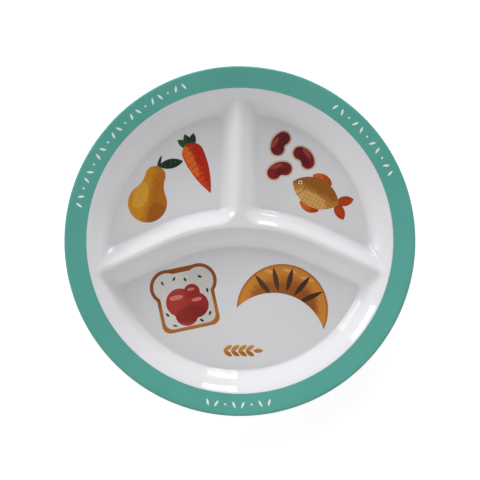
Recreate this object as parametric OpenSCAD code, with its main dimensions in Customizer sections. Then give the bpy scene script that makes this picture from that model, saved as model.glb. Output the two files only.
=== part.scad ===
// Divided compartment plate: a moulded plate with three compartments,
// a coloured rim band and printed pictures fused into its floors.
// The origin is the bottom centre, +Z is up and +Y points along the straight
// rib, from the middle towards the two small compartments.

/* [Plate] */
// Diameter over the rim
plate_d = 220; // [200:1:240]
// Thickness of the moulded wall
wall_t = 2.5; // [2:0.1:3]
// Depth of the well, from the inner edge of the rim to the floor
well_depth = 15.5; // [14:0.5:18]
// Slope of the well's wall and of the rib flanks
wall_angle = 45; // [42:1:50]
// Fillet between the floor and the well's wall
floor_fillet = 4; // [3:0.1:5]
// Height of the foot bead under each compartment
foot_h = 0.8; // [0.5:0.1:1.2]
// Width of the foot bead
foot_w = 3; // [2:0.5:4]

/* [Rim] */
// Width of the coloured band, from its inner edge to the outside of the rim
band_w = 13.8; // [11:0.1:16]
// Rise of the rim from its inner edge to the outside
rim_rise = 2.2; // [1:0.1:3]
// Rounding between the well's wall and the rim
shoulder_r = 1; // [0.6:0.1:2]
// Thickness of the band's foil
band_t = 0.4; // [0.3:0.05:0.6]
// Depth of the white marks in the band
mark_t = 0.15; // [0.1:0.05:0.2]

/* [Ribs] */
// Drop of the rib crests below the inner edge of the rim
rib_drop = 4.5; // [3.5:0.1:5.5]
// Width of a rib crest between its edges before they are rounded
crest_w = 3; // [2.5:0.1:4]
// Rounding of the crest edges
crest_r = 2.5; // [1.5:0.1:2.8]
// Fillet between the floor and the rib flanks
rib_fillet = 3.5; // [2.5:0.1:3.5]
// Material left above the groove under each rib
crest_t = 3.5; // [3:0.1:4]
// Plan radius of the arched rib's middle stretch
arch_r = 112.8; // [105:0.1:125]
// Half angle of the arched stretch, past which the rib runs straight
arch_angle = 24.7; // [22:0.1:27]
// Distance of the arched rib's crest from the plate's centre
arch_y = 9; // [6:0.1:12]
// Plan radius of the inner corner of a small compartment, at the crest
corner_r = 13; // [12.8:0.1:15]

/* [Rim marks] */
// Length of a leaf mark
mark_l = 4.6; // [3:0.1:6]
// Width of a leaf mark
mark_w = 1.4; // [1:0.1:2]
// Diameter of a dot mark
mark_dot_d = 1.3; // [0.8:0.1:2]
// Angle from one mark to the next
mark_pitch = 3.05; // [3:0.05:4]
// Number of marks in the left row
left_marks = 20; // [5:1:22]
// Number of marks in the right row
right_marks = 11; // [5:1:14]
// Number of marks in the bottom row
bottom_marks = 8; // [3:1:12]

/* [Prints] */
// Thickness of the printed films
print_t = 0.25; // [0.15:0.05:0.4]
// Radius of the pear's body
pear_r = 12.5; // [8:0.5:13]
// Length of the carrot's root below its crown
carrot_l = 28; // [20:1:30]
// Width of the carrot at its crown
carrot_w = 14; // [10:0.5:15]
// Length of the fish's body
fish_l = 33; // [26:1:35]
// Height of the fish's body
fish_h = 19; // [12:0.5:20]
// Width of a bean
bean_w = 8.5; // [5:0.5:9]
// Width of the pale edge round a bean
bean_edge_w = 1; // [0.5:0.1:1.2]
// Outer radius of the crescent roll
roll_r = 29; // [22:0.5:30]
// Thickness of the crescent roll in its middle
roll_t = 19; // [12:0.5:20]
// Width of the toast
toast_w = 43; // [26:0.5:44]
// Width of the toast's crust
crust_w = 2.2; // [1.5:0.1:3]
// Length of one grain of the ear
grain_l = 6.5; // [4:0.5:7]

/* [Hidden] */
$fn = 96;

// Overrun of the cuts
cut = 1;
// Size that is larger than the whole plate
reach = plate_d;
plate_r = plate_d / 2;
half_tan = tan(wall_angle / 2);
// Least gap between two printed pictures
print_gap = 1;
// Flats that stand for an arc: a rounding at the ribs and at the well's wall,
// half the arched rib, a round corner, the lip, and a print's outline
arc_steps = 5;
wall_steps = 6;
arch_flats = 6;
corner_flats = 8;
lip_steps = 11;
print_steps = 16;
wall_dir = [cos(wall_angle), sin(wall_angle)];

// Heights
floor_z = foot_h + wall_t;
rim_z = floor_z + well_depth;
rib_h = well_depth - rib_drop;
crest_z = floor_z + rib_h;
groove_z = crest_z - crest_t;

// Rim, in the plane of its profile: the band starts at band_in and ends on
// the side of the round lip
rim_angle = atan(rim_rise / band_w);
rim_dir = [cos(rim_angle), sin(rim_angle)];
rim_up = [-sin(rim_angle), cos(rim_angle)];
bend = (wall_angle - rim_angle) / 2;
shoulder_len = shoulder_r * tan(bend);
band_in = [plate_r - band_w, rim_z];
shoulder = band_in - shoulder_len * rim_dir;
lip_r = wall_t / 2;
lip_run = (plate_r - lip_r - band_in[0] + lip_r * rim_up[0]) / rim_dir[0];
lip = band_in - lip_r * rim_up + lip_run * rim_dir;
plate_h = lip[1] + lip_r;
floor_r = shoulder[0] - (shoulder[1] - floor_z) / tan(wall_angle);

// Centre of the arch, and the round corner that the two ribs make
arch_cy = arch_y - arch_r;
corner_sum = crest_w / 2 + corner_r;
corner_y = arch_cy + sqrt(pow(arch_r + corner_sum, 2) - pow(corner_sum, 2));
corner_turn = atan2(corner_y - arch_cy, corner_sum);

// Foot of a flank whose surface is moved outward by g. The distance u runs
// from the rib's centre line into the compartment.
function foot_u(g) = crest_w / 2 + rib_h / tan(wall_angle) - g * half_tan;
function foot_z(g) = floor_z - g;
function fillet_r(g) = rib_fillet + g;
flat_u = foot_u(0) + rib_fillet * half_tan;
flat_r = floor_r - floor_fillet * half_tan;
crest_in = crest_w / 2 - crest_r * half_tan;

// A point in plan, turned about the origin
function turned(p, angle) = [p[0] * cos(angle) - p[1] * sin(angle), p[0] * sin(angle) + p[1] * cos(angle)];

// Points of an arc between two angles, for the roundings. A lap of 1 leaves
// out both ends.
function arc(at, r, from, to, steps = arc_steps, lap = 0) =
    [for (i = [lap:steps - lap]) let(a = from + (to - from) * i / steps) at + r * [cos(a), sin(a)]];

// Points of a flank's surface moved outward by g, from above the crest down to
// the floor. The rounding of the crest starts one flat above it, so that the
// crest's plane cuts it clearly.
function flank_points(g) =
    let(
        top = crest_z + cut,
        under = foot_z(g),
        round_edge = arc([crest_in, crest_z - crest_r], crest_r, 90, 90 - wall_angle),
        first = 2 * round_edge[0] - round_edge[1],
        sharp_edge = [[foot_u(g) - (top - under) / tan(wall_angle), top]],
        fillet = arc([flat_u, under + fillet_r(g)], fillet_r(g), 270 - wall_angle, 270))
    concat(g > 0 ? sharp_edge : concat([[first[0], top], first], round_edge), fillet);

// Plan of the large compartment at the distance u from the rib's centre line,
// open towards the rim
function large_outline(u) =
    let(
        arch = arc([0, arch_cy], arch_r - u, 90 - arch_angle, 90 + arch_angle, 2 * arch_flats),
        run = 2 * reach * [cos(arch_angle), sin(arch_angle)])
    concat(arch, [arch[len(arch) - 1] - run, arch[0] + [run[0], -run[1]]]);

// Plan of the left small compartment at the distance u from both ribs' centre
// lines, with its round corner
function small_outline(u) =
    let(
        corner = arc([-corner_sum, corner_y], corner_sum - u, 0, -corner_turn, corner_flats),
        arch = arc([0, arch_cy], arch_r + u, 180 - corner_turn, 90 + arch_angle, arch_flats, 0),
        run = 2 * reach * [cos(arch_angle), sin(arch_angle)])
    concat(
        [[-2 * reach, 2 * reach], arch[len(arch) - 1] - run],
        [for (i = [len(arch) - 1:-1:1]) arch[i]],
        [for (i = [len(corner) - 1:-1:0]) corner[i]],
        [[-u, 2 * reach]]);

// Solid whose outline changes from level to level. The outlines run counter-
// clockwise and the levels go down.
module lofted(outlines, levels) {
    n = len(outlines[0]);
    m = len(levels);
    points = [for (k = [0:m - 1], p = outlines[k]) [p[0], p[1], levels[k]]];
    sides = [for (k = [0:m - 2], i = [0:n - 1])
        [k * n + i, k * n + (i + 1) % n, (k + 1) * n + (i + 1) % n, (k + 1) * n + i]];
    polyhedron(points, concat([[for (i = [n - 1:-1:0]) i]], sides, [[for (i = [0:n - 1]) (m - 1) * n + i]]));
}

// Space of the large compartment and of the left small one
module large_cell(g) {
    flank = flank_points(g);
    lofted([for (p = flank) large_outline(p[0])], [for (p = flank) p[1]]);
}

module small_cell(g) {
    flank = flank_points(g);
    lofted([for (p = flank) small_outline(p[0])], [for (p = flank) p[1]]);
}

// Space of all three compartments and, above the given height, of the well
module cells(g, above) {
    large_cell(g);
    small_cell(g);
    mirror([1, 0, 0]) small_cell(g);
    translate([0, 0, above]) cylinder(r = reach, h = plate_h);
}

// Profile of the open well, with its floor fillet and rounded shoulder
module well_profile() {
    top = plate_h + cut;
    difference() {
        polygon(concat([[0, floor_z]],
            arc([flat_r, floor_z + floor_fillet], floor_fillet, 270, 270 + wall_angle, wall_steps),
            [shoulder - shoulder_len * wall_dir, band_in, [band_in[0], top], [0, top]]));
        translate(band_in - shoulder_r * rim_up) circle(shoulder_r);
    }
}

// Profile of the plate as if its well were full
module full_profile() {
    under = floor_z - wall_t;
    mid = (wall_angle + rim_angle) / 2;
    shoulder_under = shoulder + wall_t / cos(bend) * [sin(mid), -cos(mid)];
    polygon(concat([[0, under]],
        arc([flat_r, under + floor_fillet + wall_t], floor_fillet + wall_t, 270, 270 + wall_angle, wall_steps),
        [shoulder_under, lip - lip_r * rim_up, lip + lip_r * rim_up, shoulder, [0, shoulder[1]]]));
    translate(lip) circle(lip_r);
}

// Profile of the band's foil, along the rim and round the lip to its side,
// and up to the given height over its surface
module foil_profile(over) {
    top = 90 + rim_angle;
    polygon(concat([band_in + over * rim_up],
        arc(lip, lip_r + over, top, 0, lip_steps),
        arc(lip, lip_r - band_t, 0, top, lip_steps),
        [band_in - band_t * rim_up]));
}

// Plan of the plate below the arched rib's centre line moved up by u
module below_arch_plan(u) {
    translate([0, arch_cy]) difference() {
        intersection_for(m = [0, 1]) mirror([m, 0]) rotate(90 + arch_angle)
            translate([arch_r + u - reach, -reach]) square([reach, 2 * reach]);
        difference() {
            polygon([[0, 0], for (s = [1, -1]) 2 * reach * [s * sin(arch_angle), cos(arch_angle)]]);
            circle(arch_r + u);
        }
    }
}

// Plans of the flat floors, drawn in by the given width
module large_plan(inset) {
    intersection() {
        circle(flat_r - inset);
        below_arch_plan(-flat_u - inset);
    }
}

module small_plan(inset) {
    difference() {
        intersection() {
            circle(flat_r - inset);
            translate([-flat_u - inset - reach, 0]) square(reach);
        }
        below_arch_plan(flat_u + inset);
    }
}

// Beads under the three floors, on which the plate stands
module foot_beads() {
    inset = foot_w / 4;
    linear_extrude(height = foot_h + wall_t / 2) {
        difference() {
            large_plan(inset);
            large_plan(inset + foot_w);
        }
        for (m = [0, 1]) mirror([m, 0]) difference() {
            small_plan(inset);
            small_plan(inset + foot_w);
        }
    }
}

// Leaf, grain or fish body with two pointed ends, along +Y
module lens(l, w) {
    r = (l * l + w * w) / (4 * w);
    intersection() {
        translate([r - w / 2, 0]) circle(r);
        translate([w / 2 - r, 0]) circle(r);
    }
}

// Bar with round ends, bent about the origin
module bent_bar(bend_r, w, half_angle) {
    low = 90 - half_angle;
    high = 90 + half_angle;
    end = bend_r * [sin(half_angle), cos(half_angle)];
    polygon(concat(
        arc([0, 0], bend_r + w / 2, high, low, print_steps),
        arc(end, w / 2, low, low - 180, print_steps, 1),
        arc([0, 0], bend_r - w / 2, low, high, print_steps),
        arc([-end[0], end[1]], w / 2, high + 180, high, print_steps, 1)));
}

// Plan of a row of rim marks: two leaves that lean apart and a dot, over again
mark_lean = 24;

module mark_row(middle, count) {
    for (i = [0:count - 1])
        rotate(middle + (i - (count - 1) / 2) * mark_pitch)
            translate([band_in[0] + band_w / 2, 0]) {
                if (i % 3 == 2) circle(d = mark_dot_d, $fn = 32);
                else rotate(90 + (i % 3 == 0 ? mark_lean : -mark_lean)) lens(mark_l, mark_w);
            }
}

module mark_rows() {
    left_row_plan();
    right_row_plan();
    bottom_row_plan();
}

left_row_turn = 139;
right_row_turn = 39;
bottom_row_turn = 269.5;

module left_row_plan() {
    mark_row(left_row_turn, left_marks);
}

module right_row_plan() {
    mark_row(right_row_turn, right_marks);
}

module bottom_row_plan() {
    mark_row(bottom_row_turn, bottom_marks);
}

// Skin of the rim's slope, from the depth of the marks up to the given height
module mark_skin(above) {
    far = band_w - lip_r;
    rotate_extrude() polygon([for (p = [[0, -mark_t], [far, -mark_t], [far, above], [0, above]])
        band_in + p[0] * rim_dir + p[1] * rim_up]);
}

module marks(above) {
    intersection() {
        mark_skin(above);
        linear_extrude(height = plate_h + 2 * cut) children();
    }
}

// Pear
pear_at = [-59, 24.5];
pear_turn = -16;
pear_top_share = 0.52;
pear_top_y_share = 1.45;
pear_waist_share = 1.2;
pear_leaf_shares = [1.3, 0.5];
pear_stalk_shares = [0.8, 0.16];
pear_leaf_turn = -62;
pear_tip_y = pear_r * (pear_top_y_share + pear_top_share);
pear_leaf_l = pear_r * pear_leaf_shares[0];
pear_leaf_end = pear_at + turned([0, pear_tip_y] + turned([0, pear_leaf_l], pear_leaf_turn), pear_turn);

module pear_fruit_plan() {
    top_r = pear_r * pear_top_share;
    top_y = pear_r * pear_top_y_share;
    waist_r = pear_r * pear_waist_share;
    a = pear_r + waist_r;
    b = top_r + waist_r;
    side_y = (a * a - b * b + top_y * top_y) / (2 * top_y);
    side_x = sqrt(a * a - side_y * side_y);
    circle(pear_r);
    translate([0, top_y]) circle(top_r);
    difference() {
        polygon([[0, 0], [side_x, side_y], [0, top_y], [-side_x, side_y]]);
        for (s = [-1, 1]) translate([s * side_x, side_y]) circle(waist_r);
    }
}

module pear_leaf_plan() {
    stalk_l = pear_r * pear_stalk_shares[0];
    difference() {
        union() {
            translate([0, pear_tip_y + stalk_l / 4]) lens(stalk_l, pear_r * pear_stalk_shares[1]);
            translate([0, pear_tip_y]) rotate(pear_leaf_turn) translate([0, pear_leaf_l / 2])
                lens(pear_leaf_l, pear_r * pear_leaf_shares[1]);
        }
        pear_fruit_plan();
    }
}

// Carrot, whose crown stands a gap off the end of the pear's leaf
carrot_from_leaf = -52;
carrot_at = pear_leaf_end + turned([0, carrot_w / 2 + print_gap], carrot_from_leaf);
carrot_turn = 24;
carrot_leaf_share = 0.36;
carrot_leaf_w_share = 0.34;
carrot_leaf_turns = [-34, 0, 34];

module carrot_root_plan() {
    circle(carrot_w / 2);
    intersection() {
        lens(2 * carrot_l, carrot_w);
        translate([-carrot_w / 2, -carrot_l]) square([carrot_w, carrot_l]);
    }
}

module carrot_top_plan() {
    leaf_l = carrot_l * carrot_leaf_share;
    difference() {
        for (turn = carrot_leaf_turns)
            translate([0, carrot_w / 4]) rotate(turn) translate([0, leaf_l / 2])
                lens(leaf_l, carrot_w * carrot_leaf_w_share);
        carrot_root_plan();
    }
}

// Fish
fish_at = [48.5, 31];
fish_turn = -27;
tail_share = 0.36;
tail_w_share = 0.34;
tail_turns = [-38, 38];
fin_share = 0.42;
fin_w_share = 0.4;

module fish_body_plan() {
    rotate(90) lens(fish_l, fish_h);
}

module fish_fin_plan() {
    tail_l = fish_l * tail_share;
    difference() {
        union() {
            for (turn = tail_turns)
                translate([fish_l / 2 - fish_h / 8, 0]) rotate(turn - 90) translate([0, tail_l / 2])
                    lens(tail_l, fish_h * tail_w_share);
            for (s = [-1, 1])
                translate([0, s * fish_h / 2]) rotate(90) lens(fish_l * fin_share, fish_h * fin_w_share);
        }
        fish_body_plan();
    }
}

// Beans
bean_places = [[25, 46.5, 20], [42, 54.5, -50], [25, 63.5, 60]];
bean_bend_share = 0.78;
bean_half_angle = 36;

module bean_row(w) {
    bend_r = bean_w * bean_bend_share;
    for (p = bean_places)
        translate([p[0], p[1]]) rotate(p[2]) translate([0, -bend_r]) bent_bar(bend_r, w, bean_half_angle);
}

module bean_plan() {
    bean_row(bean_w);
}

module bean_edge_plan() {
    difference() {
        bean_row(bean_w + 2 * bean_edge_w);
        bean_plan();
    }
}

// Crescent roll
roll_at = [27, -43.5];
roll_turn = -14;
roll_in_share = 1.15;
roll_stripe_turns = [-52, -26, 0, 26, 52];
roll_stripe_shares = [0.92, 0.86, 0.8, 0.86, 0.92];
roll_stripe_w_share = 0.17;

module roll_shape() {
    in_r = roll_r * roll_in_share;
    difference() {
        circle(roll_r);
        translate([0, roll_r - roll_t - in_r]) circle(in_r);
    }
}

module roll_stripe_plan() {
    intersection() {
        for (i = [0:len(roll_stripe_turns) - 1])
            rotate(roll_stripe_turns[i]) translate([0, roll_r - roll_t / 2])
                lens(roll_t * roll_stripe_shares[i], roll_t * roll_stripe_w_share);
        roll_shape();
    }
}

module roll_plan() {
    difference() {
        roll_shape();
        roll_stripe_plan();
    }
}

// Toast
toast_at = [-33.5, -39];
toast_turn = 12;
toast_h_share = 0.56;
toast_side_share = 0.43;
toast_lobe_share = 0.26;
toast_corner_share = 0.12;
jam_shares = [[-0.1, 0.02, 0.21], [0.12, -0.06, 0.19], [-0.04, -0.17, 0.17], [0.1, 0.14, 0.12]];
seed_shares = [[-0.3, 0.35, 20], [-0.12, 0.38, -40], [0.26, 0.34, 60], [0.33, 0.12, 0], [-0.32, -0.12, 35],
    [0.3, -0.22, -30], [-0.24, -0.3, 70], [0.04, 0.34, 15], [0.16, -0.3, 50]];
seed_l_share = 0.075;
seed_w_share = 0.034;

module toast_shape(inset) {
    side = toast_w * toast_side_share - inset;
    lobe_r = toast_w * toast_lobe_share - inset;
    lobe_x = toast_w / 2 - toast_w * toast_lobe_share;
    half_h = toast_w * toast_h_share / 2;
    low = -half_h - toast_w * toast_corner_share + inset;
    corner = toast_w * toast_corner_share;
    translate([-side, low + corner]) square([2 * side, half_h - low - corner]);
    translate([-side + corner, low]) square([2 * side - 2 * corner, half_h - low]);
    for (s = [-1, 1]) {
        translate([s * (side - corner), low + corner]) circle(corner);
        translate([s * lobe_x, half_h]) circle(lobe_r);
    }
    translate([-lobe_x, half_h]) square([2 * lobe_x, lobe_r * cos(toast_turn) - inset / 2]);
}

module toast_crust_plan() {
    difference() {
        toast_shape(0);
        toast_shape(crust_w);
    }
}

module toast_jam_plan() {
    for (p = jam_shares) translate(toast_w * [p[0], p[1]]) circle(toast_w * p[2]);
}

module toast_seed_plan() {
    for (p = seed_shares)
        translate(toast_w * [p[0], p[1]]) rotate(p[2]) lens(toast_w * seed_l_share, toast_w * seed_w_share);
}

module toast_crumb_plan() {
    difference() {
        toast_shape(crust_w);
        toast_jam_plan();
        toast_seed_plan();
    }
}

// Ear of grain
ear_at = [-1, -69.5];
ear_turn = -90;
ear_pairs = 4;
grain_w_share = 0.42;
grain_pitch_share = 0.72;
grain_lean = 32;

module grain_ear_plan() {
    grain_w = grain_l * grain_w_share;
    pitch = grain_l * grain_pitch_share;
    first = -pitch * ear_pairs / 2;
    for (i = [0:ear_pairs - 1], s = [-1, 1])
        translate([0, first + i * pitch]) rotate(s * grain_lean) translate([0, grain_l / 2])
            lens(grain_l, grain_w);
    translate([0, first + ear_pairs * pitch + grain_l / 2]) lens(grain_l, grain_w);
}

// A print's place on its floor
module on_pear() {
    translate(pear_at) rotate(pear_turn) children();
}

module on_carrot() {
    translate(carrot_at) rotate(carrot_turn) children();
}

module on_fish() {
    translate(fish_at) rotate(fish_turn) children();
}

module on_roll() {
    translate(roll_at) rotate(roll_turn) children();
}

module on_toast() {
    translate(toast_at) rotate(toast_turn) children();
}

module on_ear() {
    translate(ear_at) rotate(ear_turn) children();
}

// All printed fields together, for their common recess
module print_plans() {
    on_pear() {
        pear_fruit_plan();
        pear_leaf_plan();
    }
    on_carrot() {
        carrot_root_plan();
        carrot_top_plan();
    }
    on_fish() {
        fish_body_plan();
        fish_fin_plan();
    }
    bean_row(bean_w + 2 * bean_edge_w);
    on_roll() roll_shape();
    on_toast() toast_shape(0);
    on_ear() grain_ear_plan();
}

// Film of one ink, level with the floor
module film() {
    translate([0, 0, floor_z - print_t]) linear_extrude(height = print_t) children();
}

module plate_body() {
    color("whitesmoke") difference() {
        union() {
            difference() {
                intersection() {
                    rotate_extrude() full_profile();
                    cells(wall_t, groove_z);
                }
                intersection() {
                    rotate_extrude() well_profile();
                    cells(0, crest_z);
                }
            }
            foot_beads();
        }
        rotate_extrude() foil_profile(cut);
        translate([0, 0, floor_z - print_t]) linear_extrude(height = print_t + cut) print_plans();
    }
}

module rim_band() {
    color("#5aa896") difference() {
        rotate_extrude() foil_profile(0);
        marks(cut) mark_rows();
    }
}

module rim_marks_left() {
    color("white") marks(0) left_row_plan();
}

module rim_marks_right() {
    color("white") marks(0) right_row_plan();
}

module rim_marks_bottom() {
    color("white") marks(0) bottom_row_plan();
}

module pear_fruit_print() {
    color("#dda035") film() on_pear() pear_fruit_plan();
}

module pear_leaf_print() {
    color("#3c5a2c") film() on_pear() pear_leaf_plan();
}

module carrot_root_print() {
    color("#e8622c") film() on_carrot() carrot_root_plan();
}

module carrot_top_print() {
    color("#3f6b34") film() on_carrot() carrot_top_plan();
}

module fish_body_print() {
    color("#cf9148") film() on_fish() fish_body_plan();
}

module fish_fin_print() {
    color("#e88a3a") film() on_fish() fish_fin_plan();
}

module bean_print() {
    color("#8e2a2c") film() bean_plan();
}

module bean_edge_print() {
    color("#e8cfae") film() bean_edge_plan();
}

module roll_print() {
    color("#c87838") film() on_roll() roll_plan();
}

module roll_stripe_print() {
    color("#4c3020") film() on_roll() roll_stripe_plan();
}

module toast_crust_print() {
    color("#b0602c") film() on_toast() toast_crust_plan();
}

module toast_crumb_print() {
    color("#dcdad4") film() on_toast() toast_crumb_plan();
}

module toast_jam_print() {
    color("#b4452f") film() on_toast() toast_jam_plan();
}

module toast_seed_print() {
    color("#2c2a28") film() on_toast() toast_seed_plan();
}

module grain_ear_print() {
    color("#d39a4a") film() on_ear() grain_ear_plan();
}

plate_body();
rim_band();
rim_marks_left();
rim_marks_right();
rim_marks_bottom();
pear_fruit_print();
pear_leaf_print();
carrot_root_print();
carrot_top_print();
fish_body_print();
fish_fin_print();
bean_print();
bean_edge_print();
roll_print();
roll_stripe_print();
toast_crust_print();
toast_crumb_print();
toast_jam_print();
toast_seed_print();
grain_ear_print();
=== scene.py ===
# %% [markdown]
# # Divided compartment plate
# The real plate is one melamine moulding with a coloured band and printed
# pictures fused into it. The CAD model gives every piece its place. This
# script dresses it: it makes a smooth body and band, and gives each printed
# field an ink finish. Everything is in metres, in the frame of the CAD model.

# %% Load the fixed frame
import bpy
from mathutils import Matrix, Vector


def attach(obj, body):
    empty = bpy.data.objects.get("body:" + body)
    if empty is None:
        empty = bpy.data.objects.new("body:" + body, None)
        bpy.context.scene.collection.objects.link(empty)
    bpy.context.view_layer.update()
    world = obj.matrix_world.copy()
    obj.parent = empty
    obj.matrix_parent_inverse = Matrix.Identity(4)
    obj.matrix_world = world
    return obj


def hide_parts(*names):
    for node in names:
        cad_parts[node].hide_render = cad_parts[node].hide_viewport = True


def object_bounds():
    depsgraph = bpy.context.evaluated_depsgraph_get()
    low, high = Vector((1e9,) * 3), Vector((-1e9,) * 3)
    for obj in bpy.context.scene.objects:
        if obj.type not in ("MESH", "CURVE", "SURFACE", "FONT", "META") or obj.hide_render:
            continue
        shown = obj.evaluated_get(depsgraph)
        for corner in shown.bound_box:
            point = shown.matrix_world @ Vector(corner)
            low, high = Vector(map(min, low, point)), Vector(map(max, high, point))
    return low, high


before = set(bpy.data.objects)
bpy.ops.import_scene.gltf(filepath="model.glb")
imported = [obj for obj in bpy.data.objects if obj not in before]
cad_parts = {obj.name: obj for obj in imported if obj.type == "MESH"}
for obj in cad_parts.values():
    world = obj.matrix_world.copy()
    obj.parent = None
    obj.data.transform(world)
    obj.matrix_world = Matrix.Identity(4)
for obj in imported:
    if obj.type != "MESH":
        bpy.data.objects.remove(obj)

cad_low, cad_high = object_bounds()
print("CAD box in mm:", [round(1000 * v, 2) for v in (*cad_low, *cad_high)])

# %% Modules and the unit
import math

import bmesh
import bpy
import numpy as np
from mathutils import Vector

mm = 0.001

# %% [markdown]
# ## Driving sizes
# The overall sizes are read from the frame, so that the dressed pieces always
# fit the CAD model. The rest repeat the plate's own driving sizes in
# millimetres: the wall, the depth of the well, the band and the two ribs.

# %% Sizes of the plate
plate_r = cad_high.x / mm
plate_h = cad_high.z / mm
wall_t = 2.5
foot_h = 0.8
foot_w = 3.0
well_depth = 15.5
wall_angle = math.radians(45)
band_w = 13.8
band_t = 0.4
rim_rise = 2.2
rib_drop = 4.5
crest_w = 3.0
crest_t = 3.5
arch_r = 112.8
arch_angle = math.radians(24.7)
arch_y = 9.0
corner_r = 13.0

floor_z = foot_h + wall_t
rim_z = floor_z + well_depth
rib_h = well_depth - rib_drop
groove_h = rib_h - crest_t + wall_t
half_tan = math.tan(wall_angle / 2)
print("plate", round(2 * plate_r, 1), "mm across and", round(plate_h, 2), "mm high")

# %% Rim and lip, in the plane of the profile
rim_angle = math.atan(rim_rise / band_w)
rim_dir = np.array([math.cos(rim_angle), math.sin(rim_angle)])
rim_up = np.array([-math.sin(rim_angle), math.cos(rim_angle)])
band_in = np.array([plate_r - band_w, rim_z])
lip_r = wall_t / 2
lip_run = (plate_r - lip_r - band_in[0] + lip_r * rim_up[0]) / rim_dir[0]
lip = band_in - lip_r * rim_up + lip_run * rim_dir
shoulder_len = math.tan((wall_angle - rim_angle) / 2)
shoulder = band_in - shoulder_len * rim_dir
floor_r = shoulder[0] - (shoulder[1] - floor_z)
print("the wall meets the floor at radius", round(floor_r, 2))

# %% Centres of the arch and of the round inner corners
arch_cy = arch_y - arch_r
corner_sum = crest_w / 2 + corner_r
corner_y = arch_cy + math.sqrt((arch_r + corner_sum) ** 2 - corner_sum ** 2)
corner_turn = math.atan2(corner_y - arch_cy, corner_sum)
foot_u = crest_w / 2 + rib_h
print("arch centre at y", round(arch_cy, 2), "and corner centres at y", round(corner_y, 2))

# %% [markdown]
# ## Camera
# The photograph looks almost straight down, from a little to the south. A
# long lens at 0.9 m gives the small difference in scale between the rim and
# the floor. The camera comes first, so that each later look is the real one.

# %% Camera
view_distance = 0.9
view_tilt = math.radians(4.5)
rim_px = 175.9
image_px = 480
sensor = 36.0
camera_data = bpy.data.cameras.new("camera")
camera_data.sensor_width = sensor
camera_data.lens = rim_px * view_distance / (plate_r * mm) * sensor / image_px
camera = bpy.data.objects.new("camera", camera_data)
bpy.context.scene.collection.objects.link(camera)
aim = Vector((0.0001, -0.0005, plate_h * mm))
camera.location = aim + view_distance * Vector((0, -math.sin(view_tilt), math.cos(view_tilt)))
camera.rotation_euler = (view_tilt, 0, 0)
bpy.context.scene.camera = camera
print("lens", round(camera_data.lens, 1), "mm")

# %% [markdown]
# ## The surface of the well as one height
# On the real plate the press forms one smooth skin: floors, wall and ribs run
# into each other with soft valleys. A boolean of separate shapes leaves hard
# creases there. Here a distance to the nearest foot line is worked out for
# each point, the two distances are blended softly, and the height follows
# from the blended distance, so every valley is rounded as in the mould.

# %% Soft minimum and fillet
def soft_min(a, b, width):
    """The smaller of two values, rounded off where they come within a width."""
    h = np.clip(0.5 + 0.5 * (b - a) / width, 0, 1)
    return b * (1 - h) + a * h - width * h * (1 - h)


def soft_step(x, start, end):
    """0 up to start, 1 from end on, and smooth between."""
    t = np.clip((x - start) / (end - start), 0, 1)
    return t * t * (3 - 2 * t)


def slope_height(d, radius):
    """Height of a floor and a 45 degree slope with a fillet, d before its foot."""
    start, run = radius * half_tan, radius * math.sin(wall_angle)
    s = np.clip(start - d, 0, run)
    bend = radius - np.sqrt(radius ** 2 - s ** 2)
    return np.where(d > start, 0.0, np.where(start - d < run, bend, -d))


# %% Distance from the ribs' centre lines
def across_arch(x, y):
    """Signed distance over the arched rib's centre line, for |x|."""
    angle = np.arctan2(x, y - arch_cy)
    straight = x * math.sin(arch_angle) + (y - arch_cy) * math.cos(arch_angle)
    return np.where(angle <= arch_angle, np.hypot(x, y - arch_cy), straight) - arch_r


def from_ribs(x, y):
    """Distance into a compartment from the nearest rib's centre line."""
    x = np.abs(x)
    across = across_arch(x, y)
    cx, cy = corner_sum - x, y - corner_y
    turn = np.arctan2(cy, cx)
    in_corner = (turn < 0) & (turn > -corner_turn)
    u = np.where(in_corner, corner_sum - np.hypot(cx, cy), np.minimum(x, across))
    return np.where(across > 0, u, -across)


print("20 mm beside the straight rib is", float(from_ribs(20.0, 40.0)), "mm in")

# %% [markdown]
# The edge of the floor lies a little further out in the photograph than a
# straight 45 degree wall would put it, and the windows mirror only in the
# upper half of the wall and of the ribs' flanks. Both follow if a slope starts
# steeper and eases off towards its top, between the same two heights.

# %% Slopes that ease off towards their top
def eased_slope(run, rise, top_angle):
    """Slope at the foot, and how much of it is lost for each mm of the run."""
    top_slope = math.tan(math.radians(top_angle))
    ease = (rise - top_slope * run) / run ** 2
    return top_slope + 2 * ease * run, ease


wall_foot, wall_top_angle = 82.2, 39
flank_foot, flank_top_angle = foot_u - 0.5, 34
wall_slope, wall_ease = eased_slope(
    shoulder[0] - wall_foot, shoulder[1] - floor_z, wall_top_angle)
flank_slope, flank_ease = eased_slope(flank_foot - crest_w / 2, rib_h, flank_top_angle)
for name, slope in (("wall", wall_slope), ("rib", flank_slope)):
    print(name, "slope at its foot", round(math.degrees(math.atan(slope)), 1), "degrees")


def before_wall(r):
    """Depth below the foot of the wall's slope, and less than zero on the wall."""
    out = r - wall_foot
    return -out * (wall_slope - wall_ease * np.maximum(out, 0))


def before_flank(u):
    """The same for the flank of a rib, at a distance from its centre line."""
    out = flank_foot - u
    return -out * (flank_slope - flank_ease * np.maximum(out, 0))


# %% Height of the upper side, in millimetres
valley = 6.5
crest_valley = 3.0
floor_round = 4.0
crest_soft = 0.6
rim_soft = 0.9
# The printed films stand this far proud of the dressed floor
film_rise = 0.03


def rim_line(r):
    """Height of the rim's slope, which ends a little inside the shoulder."""
    return rim_z + np.maximum(r - band_in[0], -4 * shoulder_len) * math.tan(rim_angle)


def valley_width(wall, rib):
    """The fillet between wall and rib, which narrows up to the rib's crest."""
    return valley + (crest_valley - valley) * soft_step(-(wall + rib) / 2, 0, rib_h)


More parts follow.
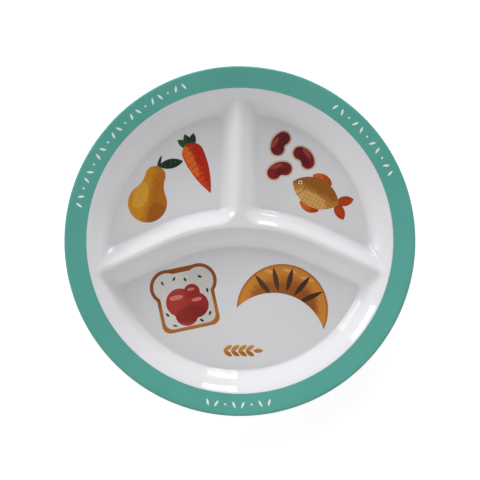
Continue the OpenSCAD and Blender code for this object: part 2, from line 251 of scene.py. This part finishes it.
def top_height(x, y):
    """Height of the upper side where floors, ribs, wall and rim run together."""
    r = np.hypot(x, y)
    wall = before_wall(r)
    rib = -soft_min(-before_flank(from_ribs(x, y)), rib_h, crest_soft)
    d = soft_min(wall, rib, valley_width(wall, rib))
    well = floor_z - film_rise + slope_height(d, floor_round)
    return soft_min(well, rim_line(r), rim_soft)


for name, y in (("floor", -40.0), ("arched rib", arch_y), ("rim", plate_r - band_w / 2)):
    print(name, "lies", round(float(top_height(0.0, y)), 2), "mm high")

# %% [markdown]
# The photograph doesn't show the underside. Moulded plates keep an even wall,
# so it repeats the upper side, moved out by the wall's thickness. The ribs
# become hollow grooves that end before the rim, and a low bead round each
# compartment is the foot that the plate stands on.

# %% Height of the underside, in millimetres
groove_soft = 2.0
groove_end = (floor_r + 4, floor_r + 8)
under_rim_soft = 3.0
bead_edge = 1.0


def under_height(x, y):
    """Height of the underside, with its grooves and foot beads."""
    r = np.hypot(x, y)
    u = from_ribs(x, y)
    skin = wall_t * half_tan
    d = soft_min(before_wall(r - skin), before_flank(u + skin), valley)
    well = soft_min(slope_height(d, floor_round + wall_t), groove_h, groove_soft)
    wall = slope_height(before_wall(r - skin), floor_round + wall_t)
    near_wall = soft_step(r, *groove_end)
    shell = foot_h + well * (1 - near_wall) + wall * near_wall
    flat = soft_min(wall_foot - r, u - flank_foot, valley)
    start = floor_round * half_tan + foot_w / 4
    end = start + foot_w
    bead = (soft_step(flat, start, start + bead_edge)
            * (1 - soft_step(flat, end - bead_edge, end)))
    rim = rim_line(r) - wall_t / math.cos(rim_angle)
    return np.maximum(soft_min(shell, rim, under_rim_soft) - foot_h * bead, 0)


print("below the middle of a floor the foot leaves", float(under_height(0.0, -40.0)), "mm")

# %% [markdown]
# ## Moulded body
# A skin like this could be sculpted, or cut from a solid. Spinning one chain
# of points gives even rings that follow the round rim exactly, and each point
# of a ring then moves only up or down to its height in the mould. The band
# gets its own recess, so that its foil lies flush with the glaze.

# %% Rings of the body's profile
recess = 0.2
recess_edge = 0.1
# Start, end and step of each zone: the rings lie closest where the skin bends
top_zones = [(0, 76, 0.9), (76, 85, 0.5), (85, 92, 0.9), (92, band_in[0], 0.35)]
rim_zone = (band_in[0] + 0.4, lip[0], 2.4)
under_zones = [(lip[0], 98, 1.2), (98, 92, 0.7), (92, 85, 1.1), (85, 70, 0.6), (70, 0, 1.1)]


def rings_between(start, end, step):
    """Radii from start up to but not at end, about a step apart."""
    count = max(1, round(abs(end - start) / step))
    return [start + (end - start) * i / count for i in range(count)]


top_rings = [r for zone in top_zones for r in rings_between(*zone)]
top_rings += [band_in[0], band_in[0] + recess_edge] + rings_between(*rim_zone)
under_rings = [r for zone in under_zones for r in rings_between(*zone)] + [0]
print(len(top_rings), "rings above and", len(under_rings), "below")


# %% Spin a chain of points
def spun_mesh(name, chain, steps, closed=False):
    """A chain of (radius, height) points in mm, spun about the plate's axis."""
    bm = bmesh.new()
    verts = [bm.verts.new((r * mm, 0, z * mm)) for r, z in chain]
    ends = verts[1:] + verts[:1] if closed else verts[1:]
    edges = [bm.edges.new(pair) for pair in zip(verts, ends)]
    bmesh.ops.spin(bm, geom=verts + edges, cent=(0, 0, 0), axis=(0, 0, 1),
                   angle=math.tau, steps=steps, use_merge=True, use_duplicate=False)
    bmesh.ops.remove_doubles(bm, verts=bm.verts, dist=1e-7)
    bmesh.ops.recalc_face_normals(bm, faces=bm.faces)
    mesh = bpy.data.meshes.new(name)
    bm.to_mesh(mesh)
    bm.free()
    for face in mesh.polygons:
        face.use_smooth = True
    print(name, len(mesh.vertices), "points,", len(mesh.polygons), "faces")
    return mesh


def piece_of(name, mesh):
    """An object for a mesh, unturned at the origin."""
    piece = bpy.data.objects.new(name, mesh)
    bpy.context.scene.collection.objects.link(piece)
    return piece


# %% Spin the body
# Each step adds 514 triangles, and a piece stays under 200,000
body_steps = 380


def lip_points(radius, start, end, count):
    """Points of an arc round the lip's centre, between two angles of the profile."""
    turns = [start + (end - start) * i / count for i in range(count + 1)]
    return [(lip[0] + radius * math.cos(a), lip[1] + radius * math.sin(a)) for a in turns]


above_rim, below_rim = math.pi / 2 + rim_angle, rim_angle - math.pi / 2
lip_under = lip_points(lip_r - recess, above_rim, 0, 6) + lip_points(lip_r, 0, below_rim, 8)
# The rings carry a mark height far above or below, which is replaced next
mark_z = 500.0
chain = ([(r, mark_z) for r in top_rings] + lip_under
         + [(r, -mark_z) for r in under_rings if r < lip_under[-1][0]])
body_mesh = spun_mesh("moulded_body", chain, body_steps)

# %% Move each point to its height in the mould
count = len(body_mesh.vertices)
points = np.empty(count * 3)
body_mesh.vertices.foreach_get("co", points)
points = points.reshape(-1, 3) / mm
is_top = points[:, 2] > mark_z / 2
is_under = points[:, 2] < -mark_z / 2
radius = np.hypot(points[:, 0], points[:, 1])


def dressed_top(x, y):
    """Height of the upper side with the band's recess cut into it."""
    under_band = soft_step(np.hypot(x, y), band_in[0], band_in[0] + recess_edge)
    return top_height(x, y) - recess * under_band / math.cos(rim_angle)


points[is_top, 2] = dressed_top(points[is_top, 0], points[is_top, 1])
points[is_under, 2] = under_height(points[is_under, 0], points[is_under, 1])
print("lowest", round(points[:, 2].min(), 3), "highest", round(points[:, 2].max(), 3))

# %% [markdown]
# Smooth shading takes the mean of the faces round a point, which shows as
# ripples in a glossy glaze where the faces are long. The height formulas know
# the true slope, so each normal is measured from them over a very small step.

# %% Normals from the same formulas
step = 0.02
normals = np.zeros_like(points)
for chosen, height, side in ((is_top, top_height, 1.0), (is_under, under_height, -1.0)):
    x, y = points[chosen, 0], points[chosen, 1]
    slope_x = (height(x + step, y) - height(x - step, y)) / (2 * step)
    slope_y = (height(x, y + step) - height(x, y - step)) / (2 * step)
    normals[chosen] = side * np.stack([-slope_x, -slope_y, np.ones_like(x)], 1)
on_lip = ~(is_top | is_under)
out = points[on_lip, :2] / radius[on_lip, None]
rise = points[on_lip, 2] - lip[1]
normals[on_lip, :2] = out * (radius[on_lip] - lip[0])[:, None]
normals[on_lip, 2] = rise
normals /= np.linalg.norm(normals, axis=1)[:, None]
body_mesh.vertices.foreach_set("co", (points * mm).ravel())
body_mesh.update()
body_mesh.normals_split_custom_set_from_vertices([tuple(n) for n in normals])
print("normals set at", count, "points")

# %% The body takes the place of its CAD solid
body = piece_of("moulded_body", body_mesh)
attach(body, "root")
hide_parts("plate_body")
print(body.name, "stands for plate_body")

# %% [markdown]
# ## Rim band
# The real band is a printed foil, fused on and wrapped round the lip. A flat
# ring would show its cut edge, so the foil's cross-section is drawn as a thin
# closed loop along the rim and round the lip, and spun once about the axis.

# %% Cross-section of the foil
band_skin = 0.02
band_steps = 360
foil_outer = lip_points(lip_r - band_skin, above_rim, 0, 10)
foil_inner = lip_points(lip_r - band_t, 0, above_rim, 8)
foil_start = band_in - band_skin * rim_up
run_steps = 6
along = [(1 - i / run_steps) * foil_start + i / run_steps * np.array(foil_outer[0])
         for i in range(run_steps)]
foil_under = band_in - band_t * rim_up
foil = [tuple(p) for p in along] + foil_outer + foil_inner + [tuple(foil_under)]
print("the foil's cross-section has", len(foil), "points")
band_mesh = spun_mesh("rim_foil", foil, band_steps, closed=True)

# %% Sharp edges of the foil keep their corners
band = piece_of("rim_foil", band_mesh)
edge_split = band.modifiers.new("sharp foil edges", "EDGE_SPLIT")
edge_split.split_angle = math.radians(50)
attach(band, "root")
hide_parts("rim_band")
print(band.name, "stands for rim_band")

# %% [markdown]
# ## Finishes
# All surfaces share one clear glaze, so all finishes start from the same
# glossy shader, and differ in colour, in how the ink is mottled and in how
# much the glaze is worn. Patterns read Object coordinates, which are the same
# metres as the CAD model's.

# %% Screen colours in the shader's values
def srgb(r, g, b):
    """A colour as seen on a screen, from 0 to 255, in the shader's linear values."""
    return tuple(((c / 255 + 0.055) / 1.055) ** 2.4 if c > 10 else c / 255 / 12.92
                 for c in (r, g, b)) + (1.0,)


print("screen grey 128 is", round(srgb(128, 128, 128)[0], 3), "in the shader's values")


# %% A glazed finish to build on
def join(finish, source, target):
    finish.node_tree.links.new(source, target)


def feed(finish, socket, value):
    """Give a socket a plain value, or a link where the value is another socket."""
    if hasattr(value, "links"):
        join(finish, value, socket)
    else:
        socket.default_value = value


def add(finish, kind, **inputs):
    """A new node, with values for the inputs that are named."""
    node = finish.node_tree.nodes.new(kind)
    for name, value in inputs.items():
        node.inputs[name.replace("_", " ")].default_value = value
    return node


def glazed(name, gloss=0.16):
    """A new finish with its glossy shader, and where its patterns are read."""
    finish = bpy.data.materials.new(name)
    finish.use_nodes = True
    shader = finish.node_tree.nodes["Principled BSDF"]
    shader.inputs["Roughness"].default_value = gloss
    shader.inputs["IOR"].default_value = 1.5
    place = finish.node_tree.nodes.new("ShaderNodeTexCoord").outputs["Object"]
    return finish, shader, place


# %% Clouds and their colours
def noise(finish, place, scale, detail, rough=0.5):
    """Cloudy values from 0 to 1, finer with a larger scale."""
    node = add(finish, "ShaderNodeTexNoise", Scale=scale, Detail=detail, Roughness=rough)
    join(finish, place, node.inputs["Vector"])
    return node.outputs["Fac"]


def ramp(finish, source, stops):
    """Colours or levels set along a value from 0 to 1."""
    node = finish.node_tree.nodes.new("ShaderNodeValToRGB")
    join(finish, source, node.inputs["Fac"])
    while len(node.color_ramp.elements) < len(stops):
        node.color_ramp.elements.new(0.5)
    for element, (at, colour) in zip(node.color_ramp.elements, stops):
        element.position = at
        element.color = colour
    return node.outputs["Color"]


# %% Levels and mixed colours
def grey(level):
    return (level, level, level, 1.0)


def levels(finish, source, low, high):
    """Spread a value from 0 to 1 between two levels."""
    node = add(finish, "ShaderNodeMapRange", To_Min=low, To_Max=high)
    join(finish, source, node.inputs["Value"])
    return node.outputs["Result"]


def mix(finish, factor, first, second, way="MIX"):
    """Two colours mixed, or blended in another way."""
    node = finish.node_tree.nodes.new("ShaderNodeMix")
    node.data_type, node.blend_type = "RGBA", way
    # A Mix node has sockets for each data type; 6 and 7 in and 2 out are its colours
    for number, value in ((0, factor), (6, first), (7, second)):
        feed(finish, node.inputs[number], value)
    return node.outputs[2]


# %% [markdown]
# A new glaze is a little wavy from the press, and use rubs it in patches and
# draws fine hairlines. Geometry that fine would need millions of faces, so the
# waves are bump, and the rubbed patches and hairlines change only the gloss.

# %% Wear of the glaze
def fine_wear(finish, shader, place, gloss, waviness=0.05):
    """Hairline scratches and a faint waviness of the glaze, in its gloss and bump."""
    stretch = add(finish, "ShaderNodeMapping")
    stretch.inputs["Rotation"].default_value = (0, 0, 0.6)
    stretch.inputs["Scale"].default_value = (1.0, 22.0, 1.0)
    join(finish, place, stretch.inputs["Vector"])
    hairs = ramp(finish, noise(finish, stretch.outputs["Vector"], 60, 6.0, 0.7),
                 [(0.66, grey(0)), (0.74, grey(1))])
    rubbed = levels(finish, noise(finish, place, 22, 2.0), gloss * 0.8, gloss * 1.3)
    roughness = mix(finish, hairs, rubbed, grey(gloss + 0.08))
    join(finish, roughness, shader.inputs["Roughness"])
    swell = add(finish, "ShaderNodeBump", Strength=waviness, Distance=0.0006)
    join(finish, noise(finish, place, 26, 1.0), swell.inputs["Height"])
    join(finish, swell.outputs["Normal"], shader.inputs["Normal"])


# %% [markdown]
# ### White melamine
# The plate's white is a very slightly cool one that is never quite even: the
# resin flows in the press and leaves faint clouds and a few fine specks. A
# plain white would look like paper, so a wide noise shifts the white by about
# two per cent, and a fine one darkens it in small specks.

# %% White melamine
melamine, shader, place = glazed("white_melamine_finish")
clouds = noise(melamine, place, 18, 2.0)
white = ramp(melamine, clouds, [(0.3, srgb(230, 229, 232)), (0.7, srgb(235, 234, 237))])
specks = ramp(melamine, noise(melamine, place, 900, 2.0), [(0.27, grey(0.93)), (0.3, grey(1.0))])
join(melamine, mix(melamine, 1.0, white, specks, "MULTIPLY"), shader.inputs["Base Color"])
fine_wear(melamine, shader, place, 0.055, 0.035)
body_mesh.materials.append(melamine)
print(melamine.name, "has", len(melamine.node_tree.nodes), "nodes")

# %% [markdown]
# ### Green band and its white marks
# The band is printed foil under the same glaze, less shiny than the floors.
# One even green would look like paint, so it is clouded a little and finely
# dotted, as a halftone is. The marks are white ink that lets some green through.

# %% Green band and its white marks
green, shader, place = glazed("green_band_finish")
tone = ramp(green, noise(green, place, 30, 3.0),
            [(0.3, srgb(88, 169, 157)), (0.7, srgb(94, 175, 163))])
dots = ramp(green, noise(green, place, 1500, 1.0), [(0.3, grey(0.94)), (0.36, grey(1.0))])
join(green, mix(green, 1.0, tone, dots, "MULTIPLY"), shader.inputs["Base Color"])
fine_wear(green, shader, place, 0.12)
band_mesh.materials.append(green)
print(green.name, "has", len(green.node_tree.nodes), "nodes")

white_ink, shader, place = glazed("white_ink_finish")
thin = ramp(white_ink, noise(white_ink, place, 700, 3.0),
            [(0.3, srgb(226, 240, 236)), (0.6, srgb(248, 250, 249))])
join(white_ink, thin, shader.inputs["Base Color"])
fine_wear(white_ink, shader, place, 0.12)


# %% Give a finish to a CAD node that is kept
def dress(node, finish):
    """Put a finish on a CAD node that stays in the model."""
    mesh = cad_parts[node].data
    mesh.materials.clear()
    mesh.materials.append(finish)
    print(node, "is dressed in", finish.name)


for row in ("rim_marks_left", "rim_marks_right", "rim_marks_bottom"):
    dress(row, white_ink)

# %% [markdown]
# ### Printed inks
# Each picture is printed in a few flat inks with soft shading, like a paint
# brush drawing. A Mapping node centres and turns a picture's own pattern on
# its place, so that one side can be lighter than the other.

# %% A picture's own coordinates
def on_picture(finish, place, at, turn):
    """Coordinates in mm from a picture's centre, turned with it."""
    node = add(finish, "ShaderNodeMapping")
    node.vector_type = "TEXTURE"
    node.inputs["Location"].default_value = (at[0] * mm, at[1] * mm, 0)
    node.inputs["Rotation"].default_value = (0, 0, math.radians(turn))
    node.inputs["Scale"].default_value = (mm, mm, mm)
    join(finish, place, node.inputs["Vector"])
    return node.outputs["Vector"]


def part_of(finish, vector, axis):
    """One coordinate of a vector."""
    node = finish.node_tree.nodes.new("ShaderNodeSeparateXYZ")
    join(finish, vector, node.inputs["Vector"])
    return node.outputs[axis]


def span(finish, value, start, end):
    """0 where the value is at start, 1 at end, smooth between."""
    node = add(finish, "ShaderNodeMapRange", From_Min=start, From_Max=end)
    node.interpolation_type = "SMOOTHSTEP"
    join(finish, value, node.inputs["Value"])
    return node.outputs["Result"]


# %% Arithmetic on patterns
def sums(finish, way, *values):
    """One step of arithmetic on sockets or plain values."""
    node = finish.node_tree.nodes.new("ShaderNodeMath")
    node.operation = way
    for socket, value in zip(node.inputs, values):
        feed(finish, socket, value)
    return node.outputs["Value"]


def distance_to(finish, vector, x, y, stretch=(1.0, 1.0)):
    """Distance in mm from a point of the picture."""
    node = add(finish, "ShaderNodeMapping")
    node.inputs["Location"].default_value = (-x * stretch[0], -y * stretch[1], 0)
    node.inputs["Scale"].default_value = (stretch[0], stretch[1], 0)
    join(finish, vector, node.inputs["Vector"])
    length = finish.node_tree.nodes.new("ShaderNodeVectorMath")
    length.operation = "LENGTH"
    join(finish, node.outputs["Vector"], length.inputs[0])
    return length.outputs["Value"]


# %% A brushed ink
def ink(name, light, dark, at, turn, axis, reach, pattern):
    """An ink that runs from light to dark across its picture, with brush mottling."""
    finish, shader, place = glazed(name + "_finish")
    spot = on_picture(finish, place, at, turn)
    across = part_of(finish, spot, axis)
    uneven = sums(finish, "SUBTRACT", noise(finish, place, 160, 4.0), 0.5)
    wobble = sums(finish, "MULTIPLY", uneven, reach)
    shade = span(finish, sums(finish, "ADD", across, wobble), -reach * 0.4, reach * 0.4)
    colour = mix(finish, shade, srgb(*light), srgb(*dark))
    grain = levels(finish, noise(finish, place, 1400, 3.0, 0.7), 0.9, 1.08)
    colour = mix(finish, 1.0, colour, grain, "MULTIPLY")
    join(finish, pattern(finish, spot, colour), shader.inputs["Base Color"])
    fine_wear(finish, shader, place, 0.06, 0.035)
    return finish


def print_ink(node, light, dark, at, turn, axis, reach, pattern):
    """Print a kept CAD node in an ink of its own."""
    dress(node, ink(node.removesuffix("_print"), light, dark, at, turn, axis, reach, pattern))


# %% Marks that a picture's ink can carry
def freckles(finish, spot, colour, tint, per_mm, size, amount=0.6):
    """Small round dots strewn over the ink, of the given share of their cells."""
    cells = add(finish, "ShaderNodeTexVoronoi", Scale=per_mm)
    join(finish, spot, cells.inputs["Vector"])
    dots = span(finish, cells.outputs["Distance"], size, size * 0.6)
    return mix(finish, sums(finish, "MULTIPLY", dots, amount), colour, srgb(*tint))


def patch(finish, spot, colour, tint, at, reach, stretch=(1.0, 1.0), amount=0.6):
    """A patch of another tint round a point, with a brushed edge."""
    away = distance_to(finish, spot, at[0], at[1], stretch)
    uneven = sums(finish, "SUBTRACT", noise(finish, spot, 0.45, 3.0), 0.5)
    ragged = sums(finish, "MULTIPLY", uneven, reach * 0.5)
    inside = span(finish, sums(finish, "ADD", away, ragged), reach, reach * 0.8)
    return mix(finish, sums(finish, "MULTIPLY", inside, amount), colour, srgb(*tint))


def strokes(finish, spot, colour, tint, axis, pitch, width, amount=0.6, bend=0.0):
    """Brush strokes at an even pitch along an axis, broken and a little bent."""
    along = part_of(finish, spot, axis)
    if bend:
        side = part_of(finish, spot, "X" if axis == "Y" else "Y")
        bow = sums(finish, "MULTIPLY", sums(finish, "MULTIPLY", side, side), bend)
        along = sums(finish, "ADD", along, bow)
    sway = sums(finish, "MULTIPLY", noise(finish, spot, 0.3, 2.0), pitch * 0.5)
    along = sums(finish, "ADD", along, sway)
    phase = sums(finish, "PINGPONG", along, pitch / 2)
    line = span(finish, phase, width, width * 0.4)
    broken = span(finish, noise(finish, spot, 0.5, 2.0), 0.42, 0.56)
    drawn = sums(finish, "MULTIPLY", sums(finish, "MULTIPLY", line, broken), amount)
    return mix(finish, drawn, colour, srgb(*tint))


# %% [markdown]
# ### Pear
# The pear is the golden picture of the upper left floor. Its shade turns from
# a warm light on its left to a deep gold on its right, with a pale patch and
# a dark one. Its freckles could be set one by one, but a cell pattern strews
# them evenly over the skin.

# %% Pear
pear_at, pear_turn = (-59.0, 24.5), -16.0


def pear_skin(finish, spot, colour):
    colour = patch(finish, spot, colour, (232, 172, 56), (-5.6, 3.4), 5.0, (1.0, 0.5), 0.8)
    colour = patch(finish, spot, colour, (160, 78, 8), (8.4, -5.6), 7.0, (1.0, 0.8), 0.6)
    return freckles(finish, spot, colour, (134, 70, 8), 0.62, 0.22, 0.7)


def leaf_veins(finish, spot, colour):
    return strokes(finish, spot, colour, (84, 118, 62), "X", 2.6, 0.28, 0.6)


print_ink("pear_fruit_print", (218, 146, 26), (190, 112, 10), pear_at, pear_turn,
          "X", 9.0, pear_skin)
print_ink("pear_leaf_print", (30, 78, 38), (12, 46, 26), pear_at, pear_turn, "X", 12.0, leaf_veins)

# %% [markdown]
# ### Carrot
# The carrot stands off the end of the pear's leaf, so its place is worked out
# from the pear's, as in the CAD model. Short rings cross the root and fade
# out, which is how a brush shows its skin. They are ink and not relief, because
# a printed foil is flat.

# %% Carrot
carrot_w, print_gap = 14.0, 1.0


def turned(x, y, degrees):
    """A point turned about the origin."""
    a = math.radians(degrees)
    return np.array([x * math.cos(a) - y * math.sin(a), x * math.sin(a) + y * math.cos(a)])


pear_r = 12.5
pear_tip = pear_r * 1.97
leaf_l, leaf_turn = pear_r * 1.3, -62
carrot_from_leaf, carrot_turn = -52, 24.0
leaf_in_pear = np.array([0, pear_tip]) + turned(0, leaf_l, leaf_turn)
leaf_end = pear_at + turned(*leaf_in_pear, pear_turn)
carrot_at = tuple(leaf_end + turned(0, carrot_w / 2 + print_gap, carrot_from_leaf))
print("carrot's centre at", [round(float(c), 2) for c in carrot_at])


def carrot_skin(finish, spot, colour):
    colour = patch(finish, spot, colour, (240, 112, 30), (-3.4, -4.0), 3.0, (1.0, 0.25), 0.8)
    return strokes(finish, spot, colour, (140, 22, 4), "Y", 3.6, 0.42, 0.85, 0.05)


def top_veins(finish, spot, colour):
    return strokes(finish, spot, colour, (76, 114, 56), "X", 2.2, 0.24, 0.55)


print_ink("carrot_root_print", (222, 68, 12), (190, 36, 4), carrot_at, carrot_turn,
          "X", 6.0, carrot_skin)
print_ink("carrot_top_print", (32, 82, 40), (14, 50, 28), carrot_at, carrot_turn,
          "X", 7.0, top_veins)

# %% [markdown]
# ### Fish
# The fish has one golden ink for its body and a deeper one for its fins. Its
# scales could be drawn line by line, but the borders of even cells give them
# all at once and are kept to the middle of the body. Its eye and gill are
# drawn by their distance from a point.

# %% Fish
fish_at, fish_turn = (48.5, 31.0), -27.0


def ring_line(finish, spot, colour, tint, at, radius, width, amount=0.9):
    """A drawn circle of that radius round a point."""
    away = distance_to(finish, spot, at[0], at[1])
    off = sums(finish, "ABSOLUTE", sums(finish, "SUBTRACT", away, radius))
    line = span(finish, off, width, width * 0.4)
    return mix(finish, sums(finish, "MULTIPLY", line, amount), colour, srgb(*tint))


def fish_skin(finish, spot, colour):
    colour = patch(finish, spot, colour, (226, 176, 104), (-1.0, -5.4), 5.4, (0.45, 1.0), 0.8)
    cells = add(finish, "ShaderNodeTexVoronoi", Scale=0.42, Randomness=0.25)
    cells.feature = "DISTANCE_TO_EDGE"
    join(finish, spot, cells.inputs["Vector"])
    edges = span(finish, cells.outputs["Distance"], 0.09, 0.02)
    middle = span(finish, part_of(finish, spot, "X"), -8.0, -6.4)
    scales = sums(finish, "MULTIPLY", sums(finish, "MULTIPLY", edges, middle), 0.6)
    colour = mix(finish, scales, colour, srgb(126, 74, 24))
    colour = ring_line(finish, spot, colour, (138, 80, 34), (-16.5, 0), 8.8, 0.42)
    eye = (-11.8, 1.6)
    colour = patch(finish, spot, colour, (252, 246, 232), eye, 1.35, amount=1.0)
    return patch(finish, spot, colour, (34, 26, 24), eye, 0.78, amount=1.0)


def fin_rays(finish, spot, colour):
    return strokes(finish, spot, colour, (124, 36, 4), "Y", 1.5, 0.22, 0.8)


print_ink("fish_body_print", (200, 136, 46), (162, 96, 26), fish_at, fish_turn,
          "Y", 7.0, fish_skin)
print_ink("fish_fin_print", (220, 104, 14), (188, 64, 6), fish_at, fish_turn, "X", 14.0, fin_rays)

# %% [markdown]
# ### Beans
# Three beans lie apart. An ink for each would repeat the same nodes three
# times, so one ink covers them all, and its light and dark patches are set
# bean by bean. A pale edge ink surrounds each one.

# %% Beans
bean_places = [(25.0, 46.5, 20.0), (42.0, 54.5, -50.0), (25.0, 63.5, 60.0)]
beans_middle = (31.0, 53.0)


def bean_skin(finish, spot, colour):
    place = finish.node_tree.nodes["Texture Coordinate"].outputs["Object"]
    for x, y, turn in bean_places:
        near = on_picture(finish, place, (x, y), turn)
        colour = patch(finish, near, colour, (176, 66, 58), (-1.2, 2.2), 2.2, (0.5, 1.6), 0.85)
        colour = patch(finish, near, colour, (78, 8, 12), (1.4, -2.2), 2.7, (0.5, 1.3), 0.6)
    return freckles(finish, spot, colour, (92, 22, 24), 0.9, 0.22, 0.5)


def pale_edge(finish, spot, colour):
    return freckles(finish, spot, colour, (238, 222, 200), 0.7, 0.3, 0.6)


print_ink("bean_print", (136, 26, 28), (112, 18, 22), beans_middle, 0.0, "Y", 14.0, bean_skin)
print_ink("bean_edge_print", (222, 196, 172), (206, 176, 150), beans_middle, 0.0,
          "Y", 14.0, pale_edge)

# %% [markdown]
# ### Crescent roll
# The roll's crust is lightest along its back and darker on its inner side. A
# straight shade would cross it at a slant, so the tints follow the distance
# from the centre of its arc. Three shines lie along the back.

# %% Crescent roll
roll_at, roll_turn = (27.0, -43.5), -14.0


def crust_glow(finish, spot, colour):
    back = distance_to(finish, spot, 0, 0)
    colour = mix(finish, span(finish, back, 18.0, 25.5), colour, srgb(216, 140, 52))
    colour = mix(finish, span(finish, back, 27.0, 29.2), colour, srgb(176, 94, 28))
    colour = patch(finish, spot, colour, (142, 72, 22), (0, 6.0), 12.0, (0.5, 1.0), 0.6)
    for x in (-12.5, -1.5, 10.5):
        on_back = (x, 25.0 - 0.022 * x * x)
        colour = patch(finish, spot, colour, (238, 178, 96), on_back, 2.0, (0.4, 1.6), 0.75)
    return freckles(finish, spot, colour, (150, 86, 44), 0.8, 0.18, 0.35)


def burnt(finish, spot, colour):
    return freckles(finish, spot, colour, (132, 92, 66), 1.1, 0.24, 0.5)


print_ink("roll_print", (200, 118, 36), (178, 94, 24), roll_at, roll_turn, "X", 24.0, crust_glow)
print_ink("roll_stripe_print", (84, 56, 40), (60, 40, 30), roll_at, roll_turn, "X", 24.0, burnt)

# %% [markdown]
# ### Toast with jam and seeds
# The crumb is a pale ink with small holes in two sizes, the crust a brown one,
# and the jam a red one. A gloss of its own would set the jam apart from the
# glaze that covers everything, so its wet highlights are tints of the ink.

# %% Toast with jam and seeds
toast_at, toast_turn = (-33.5, -39.0), 12.0


def crumb_holes(finish, spot, colour):
    colour = freckles(finish, spot, colour, (176, 166, 152), 0.85, 0.2, 0.75)
    return freckles(finish, spot, colour, (190, 180, 168), 1.7, 0.22, 0.6)


def wet_jam(finish, spot, colour):
    for at, reach in (((-6.2, 4.4), 2.4), ((4.0, 7.8), 1.4), ((6.6, 0.8), 1.8)):
        colour = patch(finish, spot, colour, (230, 138, 120), at, reach, (0.5, 1.4), 0.8)
    colour = patch(finish, spot, colour, (120, 26, 22), (1.0, -7.6), 8.0, (0.7, 1.4), 0.6)
    return freckles(finish, spot, colour, (140, 46, 38), 0.6, 0.2, 0.5)


def baked_edge(finish, spot, colour):
    return freckles(finish, spot, colour, (126, 74, 38), 0.9, 0.26, 0.5)


print_ink("toast_crumb_print", (228, 226, 222), (214, 210, 204), toast_at, toast_turn,
          "X", 18.0, crumb_holes)
print_ink("toast_jam_print", (184, 58, 50), (158, 40, 36), toast_at, toast_turn,
          "X", 12.0, wet_jam)
print_ink("toast_crust_print", (186, 112, 44), (152, 82, 30), toast_at, toast_turn,
          "Y", 16.0, baked_edge)
print_ink("toast_seed_print", (66, 62, 58), (34, 32, 30), toast_at, toast_turn,
          "X", 18.0, pale_edge)

# %% [markdown]
# ### Ear of grain
# The ear is the smallest picture, so fine strokes along its grains are all
# the detail that can be read at its size.

# %% Ear of grain
ear_at, ear_turn = (-1.0, -69.5), -90.0


def husk_lines(finish, spot, colour):
    return strokes(finish, spot, colour, (134, 82, 32), "X", 1.1, 0.16, 0.7)


print_ink("grain_ear_print", (214, 146, 52), (178, 106, 28), ear_at, ear_turn,
          "X", 5.0, husk_lines)

# %% [markdown]
# ## Light
# The floors of the photographed plate are darker than its walls, and only the
# walls that face north and west are bright. So its light came in low, through
# windows near the height of the table. Two small lamps stand for the windows,
# and only these two are mirrored in the glaze. The wide lamps stand for the
# bright walls round them, and the world for the rest of the room.

# %% Lamps
lamp_distance = 1.4


def lamp(name, azimuth, elevation, size, power, mirrored=False):
    """A soft lamp that looks at the plate. Azimuth 0 is north, 90 is east."""
    data = bpy.data.lights.new(name, "AREA")
    data.shape, data.size, data.size_y = "RECTANGLE", size[0], size[1]
    data.energy = power
    lamp_object = bpy.data.objects.new(name, data)
    bpy.context.scene.collection.objects.link(lamp_object)
    a, e = math.radians(azimuth), math.radians(elevation)
    away = Vector((math.sin(a) * math.cos(e), math.cos(a) * math.cos(e), math.sin(e)))
    lamp_object.location = aim + lamp_distance * away
    lamp_object.rotation_euler = away.to_track_quat("Z", "Y").to_euler()
    lamp_object.visible_glossy = mirrored
    print(name, "gives", power, "W and is" + ("" if mirrored else " not"), "mirrored")


lamp("north_window", 7, 10, (0.28, 0.36), 5.6, mirrored=True)
lamp("north_side", 0, 14, (1.6, 0.4), 5.6)
lamp("north_high", 0, 35, (1.6, 0.6), 4.8)
lamp("north_west_window", -52, 12, (0.35, 0.4), 3.8, mirrored=True)
lamp("west_side", -90, 14, (1.2, 0.4), 4.4)
lamp("east_side", 90, 14, (1.2, 0.4), 2.4)
lamp("south_side", 180, 20, (1.6, 0.5), 1.9)
lamp("south_high", 180, 45, (1.6, 0.5), 4.0)

# %% The rest of the room
room_light = 0.29
world = bpy.data.worlds.new("bright_room")
world.use_nodes = True
bpy.context.scene.world = world
room = world.node_tree.nodes["Background"]
room.inputs["Color"].default_value = (1.0, 1.0, 1.0, 1.0)
room.inputs["Strength"].default_value = room_light
print("the room shines at", room_light)

# %% [markdown]
# ## Floor
# The photograph's background is plain white. More light would clip the plate
# to white as well, so the floor glows a little instead, and only where the
# camera, a reflection or clear glass looks at it. The glow sheds no light on
# the plate, and the plate's shadow still shows on the floor.

# %% Floor
floor_half, floor_glow = 3.0, 0.5
bm = bmesh.new()
bmesh.ops.create_grid(bm, x_segments=1, y_segments=1, size=floor_half)
floor_mesh = bpy.data.meshes.new("floor")
bm.to_mesh(floor_mesh)
bm.free()
floor = piece_of("floor", floor_mesh)
floor_finish, shader, _ = glazed("floor_finish", 0.9)
shader.inputs["Base Color"].default_value = (0.9, 0.9, 0.9, 1.0)
shader.inputs["Emission Color"].default_value = (1.0, 1.0, 1.0, 1.0)
rays = floor_finish.node_tree.nodes.new("ShaderNodeLightPath")
seen = rays.outputs["Is Camera Ray"]
for kind in ("Is Glossy Ray", "Is Transmission Ray"):
    seen = sums(floor_finish, "MAXIMUM", seen, rays.outputs[kind])
glow = sums(floor_finish, "MULTIPLY", seen, floor_glow)
join(floor_finish, glow, shader.inputs["Emission Strength"])
floor_mesh.materials.append(floor_finish)
bpy.context.scene.view_settings.view_transform = "Standard"
print("floor is", 2 * floor_half, "m wide")
